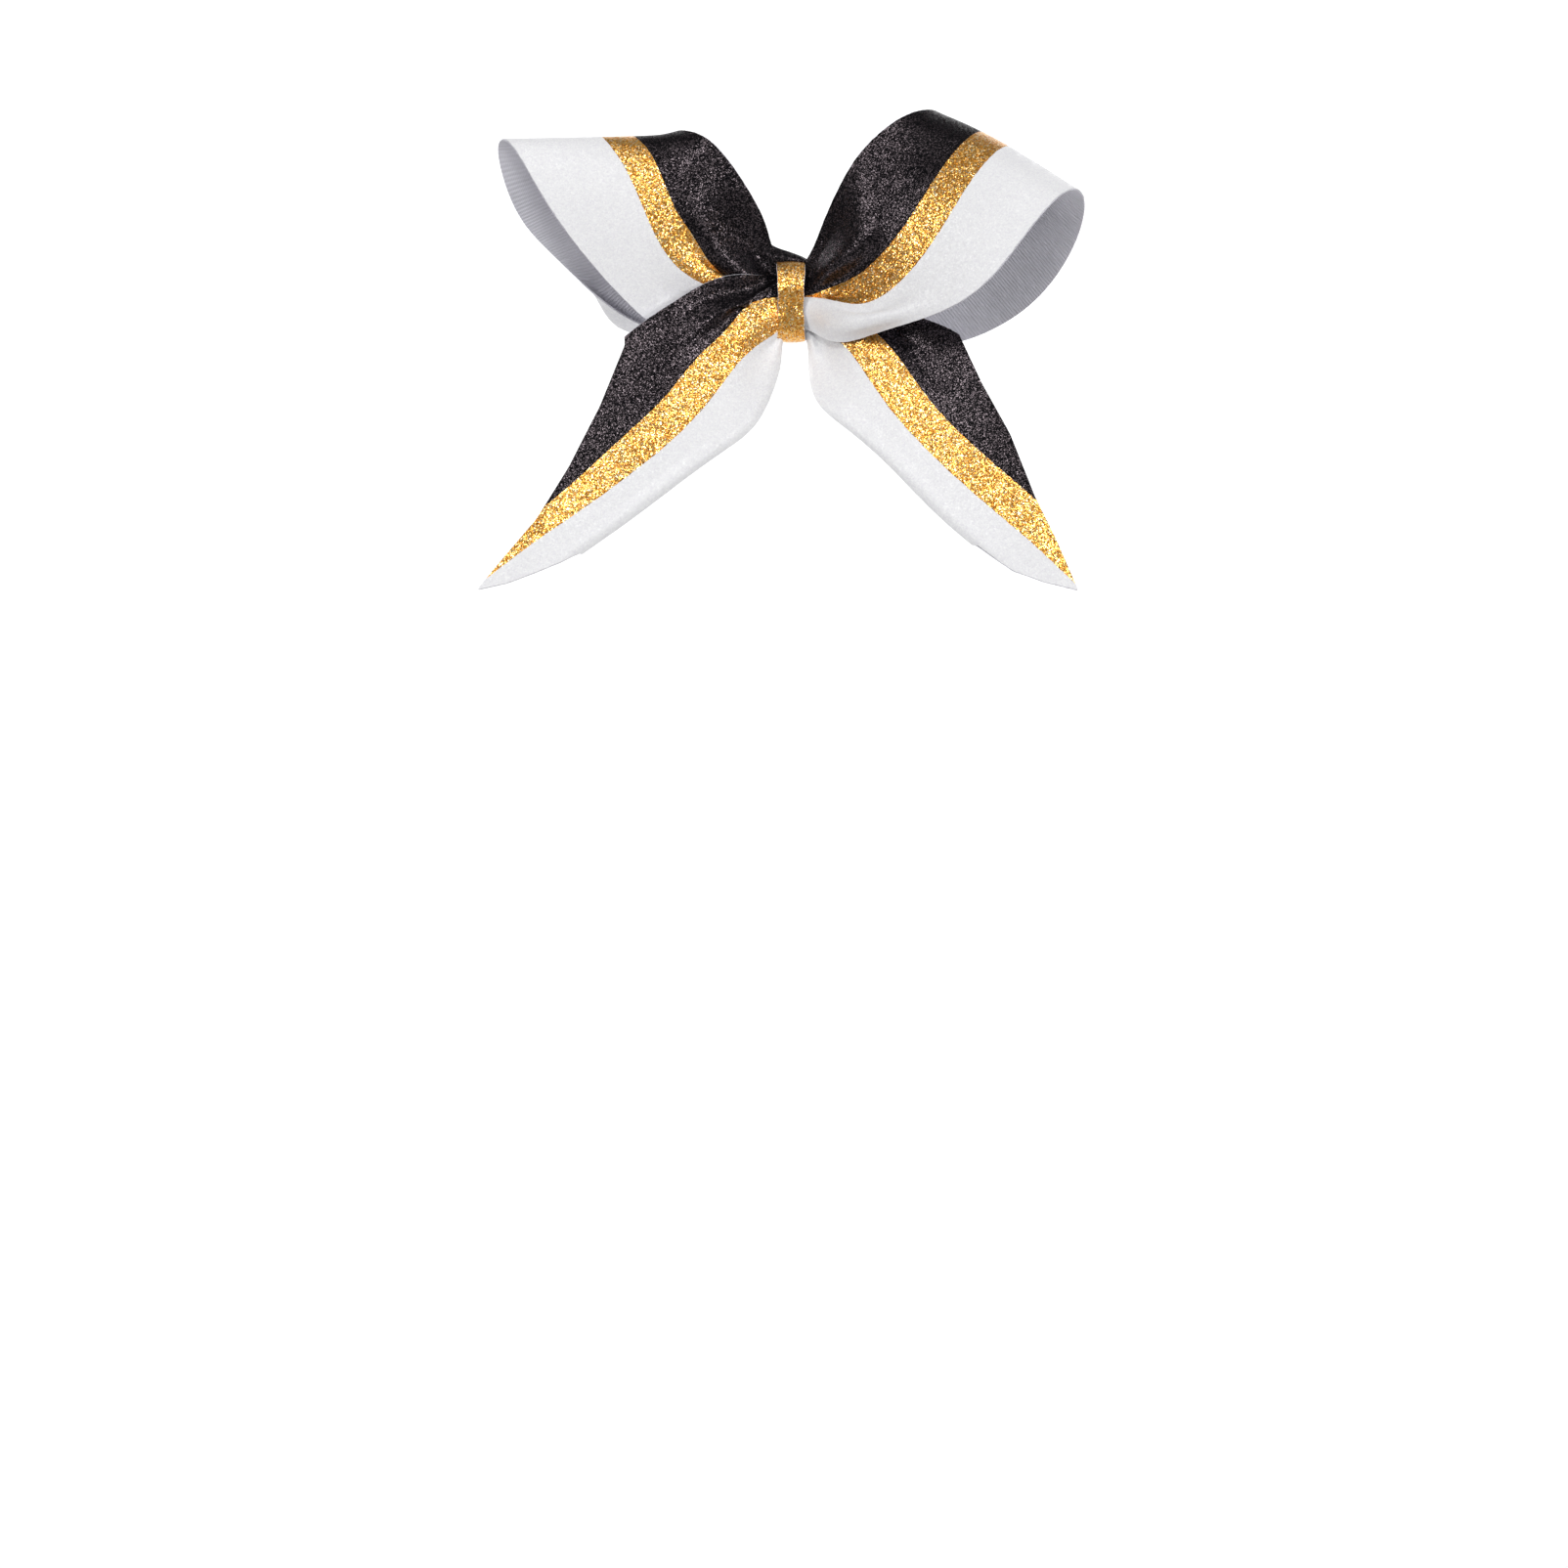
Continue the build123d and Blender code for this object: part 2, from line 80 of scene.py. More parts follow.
RIGHT_LOOP = (
    FRONT_WAIST,
    ((3.4, -6.9, 9.6), (3.3, -6.9, -1.9), (3.3, -6.9, -7.3)),
    ((6.9, -10.8, 18.6), (11.0, -13.0, -2.0), (11.0, -14.0, -11.2)),
    ((11.5, -15.5, 28.5), (18.8, -20.0, -2.4), (24.0, -24.0, -8.8)),
    ((17.7, -18.5, 38.0), (30.0, -26.5, 6.0), (37.0, -32.0, -5.2)),
    ((25.5, -18.5, 44.8), (38.2, -30.0, 17.5), (49.5, -38.0, 2.5)),
    ((31.5, -14.5, 47.8), (45.0, -30.5, 28.8), (60.0, -39.5, 16.5)),
    ((35.8, -8.0, 48.6), (52.0, -26.5, 36.9), (69.0, -36.0, 26.0)),
    ((37.5, -1.5, 48.0), (55.5, -19.0, 38.0), (73.8, -27.5, 25.0)),
    ((36.0, 2.5, 45.5), (54.5, -11.0, 34.0), (73.0, -17.5, 16.5)),
    ((31.0, 3.0, 39.0), (49.0, -5.5, 24.0), (66.0, -9.5, 4.0)),
    ((24.0, 1.0, 30.5), (38.0, -3.0, 13.0), (54.0, -5.0, -6.0)),
    ((15.0, -2.0, 20.5), (25.0, -2.6, 5.0), (37.0, -3.0, -12.0)),
    ((8.5, -3.1, 12.5), (12.0, -3.2, -0.5), (15.0, -3.3, -11.0)),
    ((3.4, -3.6, 6.9), (3.4, -3.6, -1.6), (3.4, -3.6, -7.9)),
    BACK_WAIST,
)

LEFT_LOOP = (
    MIDDLE_WAIST,
    ((-5.2, -5.0, 12.2), (-4.6, -4.9, -1.4), (-4.6, -4.9, -8.2)),
    ((-6.8, -8.0, 19.0), (-12.5, -8.3, 1.0), (-13.0, -8.0, -11.0)),
    ((-11.2, -12.0, 27.4), (-22.0, -11.5, 3.2), (-24.0, -10.5, -11.5)),
    ((-16.4, -15.0, 35.0), (-29.0, -15.0, 7.0), (-34.0, -13.5, -8.6)),
    ((-21.0, -16.0, 40.0), (-34.3, -18.0, 13.5), (-44.5, -17.5, 0.6)),
    ((-25.0, -14.5, 42.3), (-38.4, -20.0, 22.5), (-54.3, -21.5, 11.6)),
    ((-28.5, -10.0, 43.1), (-43.5, -20.0, 34.0), (-64.0, -24.0, 25.0)),
    ((-30.5, -5.0, 43.2), (-48.7, -17.5, 40.5), (-72.6, -23.2, 40.0)),
    ((-31.0, 0.5, 42.0), (-49.5, -12.5, 41.0), (-76.0, -17.5, 39.0)),
    ((-28.5, 3.0, 38.5), (-47.5, -7.0, 34.5), (-72.0, -11.0, 23.5)),
    ((-23.5, 1.5, 32.0), (-41.0, -3.5, 22.0), (-62.0, -5.5, 12.2)),
    ((-16.0, -1.5, 22.5), (-35.5, -2.6, 3.4), (-43.6, -7.2, -4.6)),
    ((-9.0, -3.0, 13.0), (-14.0, -3.1, 2.0), (-21.0, -3.2, -9.5)),
    ((-4.7, -3.6, 6.9), (-4.7, -3.6, -1.6), (-4.7, -3.6, -7.9)),
    BACK_WAIST,
)

LEFT_TAIL = (
    FRONT_WAIST,
    ((-4.6, -6.9, 6.8), (-4.0, -6.8, -7.9), (-3.2, -5.8, -9.0)),
    ((-11.0, -10.5, 6.5), (-8.4, -10.5, -10.9), (-3.3, -8.5, -15.0)),
    ((-17.5, -13.5, 6.0), (-13.3, -14.0, -15.4), (-4.4, -11.5, -20.5)),
    ((-24.5, -16.5, 2.9), (-17.2, -17.0, -20.5), (-7.0, -15.0, -27.5)),
    ((-30.0, -18.5, -0.8), (-21.5, -19.5, -26.5), (-11.0, -18.0, -34.0)),
    ((-36.5, -20.0, -5.0), (-27.0, -22.0, -32.9), (-18.5, -21.0, -39.5)),
    ((-43.5, -20.5, -10.5), (-34.0, -24.0, -39.5), (-26.0, -23.5, -45.0)),
    ((-52.0, -20.0, -17.5), (-41.8, -25.5, -45.7), (-34.0, -25.5, -51.2)),
    ((-63.0, -19.0, -26.5), (-52.0, -26.5, -53.4), (-44.0, -27.0, -58.8)),
    ((-76.0, -17.0, -35.5), (-64.6, -27.0, -61.9), (-56.5, -28.0, -67.5)),
    ((-93.0, -14.0, -48.5), (-81.5, -26.5, -74.8), (-73.0, -28.0, -80.5)),
)

RIGHT_TAIL = (
    MIDDLE_WAIST,
    ((3.3, -4.9, 7.0), (3.3, -4.9, -2.4), (3.3, -4.9, -8.3)),
    ((11.0, -7.4, 3.0), (8.5, -7.2, -8.0), (4.0, -6.4, -15.0)),
    ((20.5, -11.0, -1.0), (13.8, -11.5, -12.5), (4.2, -9.5, -21.5)),
    ((31.5, -13.5, -4.8), (19.0, -15.5, -20.4), (7.0, -13.5, -28.0)),
    ((41.5, -15.0, -8.5), (25.0, -18.5, -29.2), (14.0, -17.0, -33.5)),
    ((50.0, -17.0, -15.5), (32.0, -21.5, -37.3), (22.5, -20.5, -41.0)),
    ((60.0, -18.0, -25.5), (40.5, -24.0, -45.7), (31.0, -23.5, -50.0)),
    ((69.0, -18.0, -34.5), (49.0, -25.5, -53.3), (39.5, -25.5, -58.5)),
    ((79.5, -17.0, -44.0), (60.0, -26.5, -62.6), (50.5, -27.5, -67.5)),
    ((93.0, -15.0, -56.5), (73.0, -26.5, -75.0), (63.5, -28.0, -80.0)),
)

# Shares of the width where a row is shaped. A tail's white side is turned under along TURN, so
# its rows end at the turn and the rest of the ribbon lies flat behind them, TURN_GAP millimetres
# further back.
MID_BLACK = 0.19
MID_GOLD = 0.473
TURN = 0.79
TURN_HALF = 0.018
LOOP_CONTROL = np.array((0, MID_BLACK, GOLD_START, MID_GOLD, GOLD_END, 0.785, 1))
TAIL_CONTROL = np.array(
    (0, MID_BLACK, GOLD_START, MID_GOLD, GOLD_END, 0.68, TURN - TURN_HALF, TURN, TURN + TURN_HALF, 0.9, 1)
)
TURN_GAP = np.array((0, 0, 0, 0, 0, 0, 0, 0.6, 1.2, 1.6, 2.0))
GOLD_END_COLUMN = 4     # place of GOLD_END in both lists

# Points that folds pull off the plain rows: (station, column of the control list): place
FOLDS = {
    "right_loop": {
        (0, 0): (0, -5.8, 7.8), (0, 1): (0, -7.0, 4.5), (0, 2): (0, -7.2, 1.4), (0, 3): (0, -6.4, 0.7),
        (0, 4): (0, -7.2, 0.3), (0, 5): (0, -7.4, -3.8), (0, 6): (0, -5.6, -7.4),
        (1, 0): (3.4, -6.4, 9.7), (1, 1): (3.4, -8.0, 5.2), (1, 2): (3.4, -7.6, 1.3),
        (1, 3): (3.4, -6.7, 0.6), (1, 4): (3.3, -7.7, 0.4), (1, 5): (3.5, -8.3, -3.2),
        (1, 6): (3.6, -6.5, -6.9),
        (2, 1): (8.2, -12.6, 11.6), (2, 2): (10.4, -12.4, 3.4), (2, 3): (9.8, -11.0, 0.4),
        (2, 4): (10.6, -14.2, -0.6), (2, 5): (11.2, -17.2, -5.2), (2, 6): (10.8, -11.5, -11.8),
        (3, 1): (15.4, -19.6, 16.9), (3, 2): (17.4, -16.4, 6.2), (3, 3): (17.8, -17.0, 0.7),
        (3, 4): (18.6, -20.0, -2.2),
        (3, 5): (21.8, -23.8, -4.9), (3, 6): (23.2, -20.0, -8.2),
    },
    "left_loop": {
        (0, 0): (0, -4.6, 8.2),
        (2, 2): (-12.2, -8.6, 3.0),
        (3, 2): (-21.2, -11.6, 8.6),
        (12, 5): (-47.2, -2.2, -9.0),
    },
    "left_tail": {
        (0, 0): (0, -4.2, 6.0), (0, 1): (0, -7.0, 3.8), (0, 2): (0, -7.3, 1.0), (0, 3): (0, -7.3, -3.4),
        (1, 0): (-4.6, -4.3, 6.2), (1, 1): (-4.7, -7.7, 4.2), (1, 2): (-4.8, -8.7, 0.7),
        (1, 3): (-4.4, -8.8, -3.6), (1, 4): (-4.0, -7.9, -7.8),
        (2, 2): (-11.6, -11.2, -0.9), (2, 3): (-10.2, -11.6, -6.2),
        (3, 2): (-16.4, -14.2, -7.2),
    },
    "right_tail": {
        (0, 0): (0, -4.6, 8.2),
    },
}

# The left tail's gold narrows towards its tip: how far the line between black and gold moves over
# to the white side at each of the last stations, in millimetres, and its neighbours' part of that
GOLD_NARROWING = {"left_tail": {8: 0.6, 9: 2.0, 10: 3.4, 11: 3.5}}
TOWARDS_WHITE = np.array((0.56, 0, -0.83))
NARROWING_PARTS = ((1, 0.5), (2, 1.0), (3, 0.5))

# The spear cuts, in X and Z: from the black edge to the tip, then on to the white corner
LEFT_CUT = (
    ((-44, 30), (-43, -12.5), (-49.2, -28), (-57.1, -43.6), (-65.3, -57), (-80.3, -74.8)),
    (
        (-80.3, -74.8), (-72.9, -73.2), (-65.9, -70.7), (-59.5, -68), (-54.7, -65.5), (-52.5, -65.8),
        (-49.5, -72.5),
    ),
)
RIGHT_CUT = (
    ((43, 30), (42, -9), (48, -22.3), (54.9, -35), (61.3, -51.5), (66.2, -61.5), (72, -74.9)),
    (
        (72, -74.9), (62.9, -72.7), (55.7, -70.1), (50.1, -66.2), (46.8, -63.5), (42.4, -63),
        (39.6, -70.5),
    ),
)

# Pleats that fan from the waist: place across the ribbon, height out of its face, half-width as
# a share of the ribbon, and how far along the ribbon the pleat is highest and has faded away
PLEATS = {
    "right_loop": (
        (0.11, -1.2, 0.06, 12, 34), (0.275, 2.0, 0.04, 14, 46), (0.35, -1.2, 0.03, 14, 32),
        (0.47, 0.8, 0.045, 16, 34), (0.66, -1.6, 0.06, 18, 44), (0.86, 1.2, 0.05, 12, 34),
    ),
    "left_loop": (
        (0.19, -1.6, 0.05, 13, 36), (0.31, 1.7, 0.04, 15, 46), (0.40, -1.3, 0.04, 16, 40),
        (0.53, 1.2, 0.05, 15, 36), (0.70, -1.9, 0.06, 18, 46), (0.86, 1.2, 0.05, 12, 34),
    ),
    "left_tail": (
        (0.10, -1.2, 0.045, 16, 40), (0.22, 1.4, 0.05, 17, 44), (0.33, -0.5, 0.05, 17, 36),
        (0.46, 0.8, 0.045, 12, 32), (0.66, -1.0, 0.05, 14, 32),
    ),
    "right_tail": (
        (0.08, 1.2, 0.06, 26, 48), (0.24, -1.5, 0.07, 30, 56), (0.46, 0.8, 0.05, 24, 48),
        (0.66, -1.2, 0.05, 14, 34),
    ),
}


# ---- Materials ----
COAT_ROUGHNESS = 0.2
COAT_IOR = 1.7
LEAN_CELLS = 1.07       # flakes' normals come from slightly smaller cells than their colours


def new_material(name):
    """A material with its nodes, its links and its shader."""
    material = bpy.data.materials.new(name)
    material.use_nodes = True
    nodes = material.node_tree.nodes
    shader = nodes["Principled BSDF"]
    return material, nodes, material.node_tree.links, shader


def add(nodes, kind, **settings):
    """New node of a kind, with its settings."""
    node = nodes.new(kind)
    for key, value in settings.items():
        setattr(node, key, value)
    return node


def ramp(nodes, links, source, stops, interpolation="LINEAR"):
    """Colour ramp fed by source; stops are (place, colour)."""
    node = add(nodes, "ShaderNodeValToRGB")
    node.color_ramp.interpolation = interpolation
    elements = node.color_ramp.elements
    while len(elements) < len(stops):
        elements.new(0.5)
    for element, (place, colour) in zip(elements, stops):
        element.position = place
        element.color = (*colour, 1)
    links.new(source, node.inputs["Fac"])
    return node.outputs["Color"]


def noise(nodes, links, place, scale, **inputs):
    """Factor of a noise texture."""
    cloud = add(nodes, "ShaderNodeTexNoise")
    cloud.inputs["Scale"].default_value = scale
    for key, value in inputs.items():
        cloud.inputs[key].default_value = value
    links.new(place, cloud.inputs["Vector"])
    return cloud.outputs["Fac"]


def voronoi(nodes, links, place, scale):
    """Random colour of each cell of a Voronoi texture."""
    cells = add(nodes, "ShaderNodeTexVoronoi")
    cells.inputs["Scale"].default_value = scale
    links.new(place, cells.inputs["Vector"])
    return cells.outputs["Color"]


def leaning_normals(nodes, links, place, scale, tilt):
    """The surface's normal, leaned another way in each cell."""
    centred = add(nodes, "ShaderNodeVectorMath", operation="SUBTRACT")
    centred.inputs[1].default_value = (0.5, 0.5, 0.5)
    links.new(voronoi(nodes, links, place, scale), centred.inputs[0])
    leaning = add(nodes, "ShaderNodeVectorMath", operation="SCALE")
    leaning.inputs["Scale"].default_value = tilt
    links.new(centred.outputs["Vector"], leaning.inputs[0])
    face = add(nodes, "ShaderNodeNewGeometry").outputs["Normal"]
    summed = add(nodes, "ShaderNodeVectorMath", operation="ADD")
    links.new(leaning.outputs["Vector"], summed.inputs[0])
    links.new(face, summed.inputs[1])
    unit = add(nodes, "ShaderNodeVectorMath", operation="NORMALIZE")
    links.new(summed.outputs["Vector"], unit.inputs[0])
    return unit.outputs["Vector"]


def glitter(name, flake, colours, metallic, tilt, roughness, coat=0.0):
    """Flakes, flake metres wide, each with a colour and a normal of its own."""
    material, nodes, links, shader = new_material(name)
    place = add(nodes, "ShaderNodeTexCoord").outputs["Object"]
    split = add(nodes, "ShaderNodeSeparateColor")
    links.new(voronoi(nodes, links, place, 1 / flake), split.inputs["Color"])
    chance = split.outputs["Red"]
    links.new(ramp(nodes, links, chance, colours), shader.inputs["Base Color"])
    links.new(ramp(nodes, links, chance, metallic, "CONSTANT"), shader.inputs["Metallic"])
    normal = leaning_normals(nodes, links, place, LEAN_CELLS / flake, tilt)
    links.new(normal, shader.inputs["Normal"])
    links.new(normal, shader.inputs["Coat Normal"])
    shader.inputs["Roughness"].default_value = roughness
    shader.inputs["Coat Weight"].default_value = coat
    shader.inputs["Coat Roughness"].default_value = COAT_ROUGHNESS
    shader.inputs["Coat IOR"].default_value = COAT_IOR
    return material


def grey(level):
    return (level, level, level)


def gold_glitter():
    colours = (
        (0.0, (0.44, 0.13, 0.007)),
        (0.25, (0.86, 0.33, 0.026)),
        (0.5, (1.0, 0.47, 0.07)),
        (0.8, (1.0, 0.64, 0.18)),
        (1.0, (1.0, 0.90, 0.62)),
    )
    metallic = ((0.0, grey(0.85)), (0.5, grey(0.9)))
    return glitter("gold_glitter", 0.00029, colours, metallic, tilt=0.46, roughness=0.28, coat=0.3)


def black_glitter():
    """Dull dark specks and, above the metallic step, dim silvery flakes."""
    colours = (
        (0.0, (0.003, 0.003, 0.0035)),
        (0.52, (0.004, 0.004, 0.005)),
        (0.60, (0.026, 0.022, 0.024)),
        (1.0, (0.155, 0.128, 0.138)),
    )
    metallic = ((0.0, grey(0.0)), (0.56, grey(1.0)))
    material = glitter("black_glitter", 0.00024, colours, metallic, tilt=0.32, roughness=0.30)
    shader = material.node_tree.nodes["Principled BSDF"]
    shader.inputs["Specular IOR Level"].default_value = 0.2
    shader.inputs["Specular Tint"].default_value = (0.2, 0.18, 0.19, 1)
    return material


def white_glitter():
    colours = (
        (0.0, (0.80, 0.79, 0.82)),
        (0.4, (0.85, 0.85, 0.86)),
        (0.7, (0.86, 0.86, 0.87)),
        (1.0, (0.92, 0.92, 0.92)),
    )
    metallic = ((0.0, grey(0.0)), (0.92, grey(0.12)))
    return glitter("white_glitter", 0.00034, colours, metallic, tilt=0.22, roughness=0.4)


def grosgrain(name, colour, pitch=0.0007, by_uv=True):
    """Ribs, pitch metres apart across the ribbon, with the fine warp threads that cross them."""
    warp_pitch = pitch * 0.45
    warp_height = 0.22      # against the ribs'
    rib_height = pitch * 0.14
    rib_shade = 0.16
    shaded = tuple(c * 0.86 for c in colour)
    material, nodes, links, shader = new_material(name)
    coordinates = add(nodes, "ShaderNodeTexCoord")
    place = coordinates.outputs["UV" if by_uv else "Object"]
    split = add(nodes, "ShaderNodeSeparateXYZ")
    links.new(place, split.inputs[0])

    def ripples(axis, period):
        scaled = add(nodes, "ShaderNodeMath", operation="MULTIPLY")
        scaled.inputs[1].default_value = 2 * pi / period
        links.new(split.outputs[axis], scaled.inputs[0])
        wave = add(nodes, "ShaderNodeMath", operation="SINE")
        links.new(scaled.outputs[0], wave.inputs[0])
        return wave.outputs[0]

    ribs = ripples("X", pitch)
    weave = add(nodes, "ShaderNodeMath", operation="MULTIPLY_ADD")
    weave.inputs[1].default_value = warp_height
    links.new(ripples("Y", warp_pitch), weave.inputs[0])
    links.new(ribs, weave.inputs[2])
    bump = add(nodes, "ShaderNodeBump")
    bump.inputs["Strength"].default_value = 0.7
    bump.inputs["Distance"].default_value = rib_height
    links.new(weave.outputs[0], bump.inputs["Height"])
    links.new(bump.outputs["Normal"], shader.inputs["Normal"])

    shade = add(nodes, "ShaderNodeMath", operation="MULTIPLY_ADD")
    shade.inputs[1].default_value = rib_shade
    links.new(ribs, shade.inputs[0])
    links.new(noise(nodes, links, coordinates.outputs["Object"], 90), shade.inputs[2])
    tone = ramp(nodes, links, shade.outputs[0], ((0.25, shaded), (0.65, colour)))
    links.new(tone, shader.inputs["Base Color"])
    shader.inputs["Roughness"].default_value = 0.62
    shader.inputs["Sheen Weight"].default_value = 0.25
    shader.inputs["Sheen Roughness"].default_value = 0.4
    return material


def metal(name, colour, roughness, grain):
    """Plated or drawn steel with fine streaks and a faint uneven polish."""
    smoothest, roughest = roughness * 0.7, roughness * 1.4
    dark = tuple(c * 0.82 for c in colour)
    material, nodes, links, shader = new_material(name)
    place = add(nodes, "ShaderNodeTexCoord").outputs["Object"]
    stretch = add(nodes, "ShaderNodeMapping")
    stretch.inputs["Scale"].default_value = grain
    links.new(place, stretch.inputs["Vector"])
    streaks = noise(nodes, links, stretch.outputs["Vector"], 1.0, Detail=4)
    polish = add(nodes, "ShaderNodeMapRange")
    polish.inputs["To Min"].default_value = smoothest
    polish.inputs["To Max"].default_value = roughest
    links.new(streaks, polish.inputs["Value"])
    links.new(polish.outputs["Result"], shader.inputs["Roughness"])
    bump = add(nodes, "ShaderNodeBump")
    bump.inputs["Strength"].default_value = 0.145
    bump.inputs["Distance"].default_value = 0.00002
    links.new(streaks, bump.inputs["Height"])
    links.new(bump.outputs["Normal"], shader.inputs["Normal"])
    links.new(ramp(nodes, links, streaks, ((0.3, dark), (0.7, colour))), shader.inputs["Base Color"])
    shader.inputs["Metallic"].default_value = 1.0
    return material


def glue():
    """Milky hot-melt glue."""
    material, nodes, links, shader = new_material("hot_glue")
    place = add(nodes, "ShaderNodeTexCoord").outputs["Object"]
    cloud = noise(nodes, links, place, 400)
    tone = ramp(nodes, links, cloud, ((0.3, (0.72, 0.68, 0.56)), (0.7, (0.86, 0.83, 0.74))))
    links.new(tone, shader.inputs["Base Color"])
    shader.inputs["Roughness"].default_value = 0.28
    shader.inputs["Subsurface Weight"].default_value = 0.3
    shader.inputs["Subsurface Scale"].default_value = 0.001
    return material


def backdrop_paint():
    material, nodes, links, shader = new_material("backdrop")
    place = add(nodes, "ShaderNodeTexCoord").outputs["Object"]
    cloud = noise(nodes, links, place, 3)
    tone = ramp(nodes, links, cloud, ((0.3, grey(0.86)), (0.7, grey(0.88))))
    links.new(tone, shader.inputs["Base Color"])
    shader.inputs["Roughness"].default_value = 0.9
    return material


MATERIALS = {
    "black_glitter": black_glitter(),
    "gold_glitter": gold_glitter(),
    "white_glitter": white_glitter(),
    # The ribbon's own white, made darker and lavender-grey: painted shade for the inside of the loops,
    # where the grosgrain mostly shows
    "grosgrain": grosgrain("grosgrain", (0.71, 0.70, 0.755)),
    "liner": grosgrain("liner", (0.03, 0.03, 0.035), by_uv=False),
    "thread": grosgrain("thread", (0.88, 0.87, 0.83), pitch=0.0005, by_uv=False),
    "clip_steel": metal("clip_steel", (0.78, 0.78, 0.80), 0.2, (300, 2500, 2500)),
    "spring_steel": metal("spring_steel", (0.60, 0.60, 0.62), 0.3, (900, 900, 900)),
    "hot_glue": glue(),
}


# ---- Surfaces ----
def ease(t):
    """Smooth rise from 0 to 1."""
    return t * t * (3 - 2 * t)


def span(p0, m0, p1, m1, t):
    """Cubic from p0 to p1 with the slopes m0 and m1."""
    start = p0 * (1 + 2 * t) * (1 - t) ** 2 + m0 * t * (1 - t) ** 2
    return start + p1 * t * t * (3 - 2 * t) - m1 * t * t * (1 - t)


def hermite(points, gaps, steps):
    """Smooth curve through points in space: steps to each span, and the last point."""
    slopes = np.empty_like(points)
    into = (points[1:-1] - points[:-2]) / gaps[:-1, None]
    away = (points[2:] - points[1:-1]) / gaps[1:, None]
    slopes[1:-1] = (into * gaps[1:, None] + away * gaps[:-1, None]) / (gaps[:-1] + gaps[1:])[:, None]
    slopes[0] = (points[1] - points[0]) / gaps[0]
    slopes[-1] = (points[-1] - points[-2]) / gaps[-1]
    t = (np.arange(steps) / steps)[None, :, None]
    p0, p1 = points[:-1, None], points[1:, None]
    m0, m1 = slopes[:-1, None] * gaps[:, None, None], slopes[1:, None] * gaps[:, None, None]
    return np.vstack([span(p0, m0, p1, m1, t).reshape(-1, 3), points[-1:]])


def smooth(line, spread=5.0):
    """Round off the small kinks of a curve; its ends stay where they are."""
    reach = int(3 * spread)
    weight = np.exp(-0.5 * (np.arange(-reach, reach + 1) / spread) ** 2)
    before = 2 * line[0] - line[reach:0:-1]
    after = 2 * line[-1] - line[-2 : -reach - 2 : -1]
    padded = np.vstack([before, line, after])
    return np.stack([np.convolve(padded[:, k], weight / weight.sum(), "valid") for k in range(3)], -1)


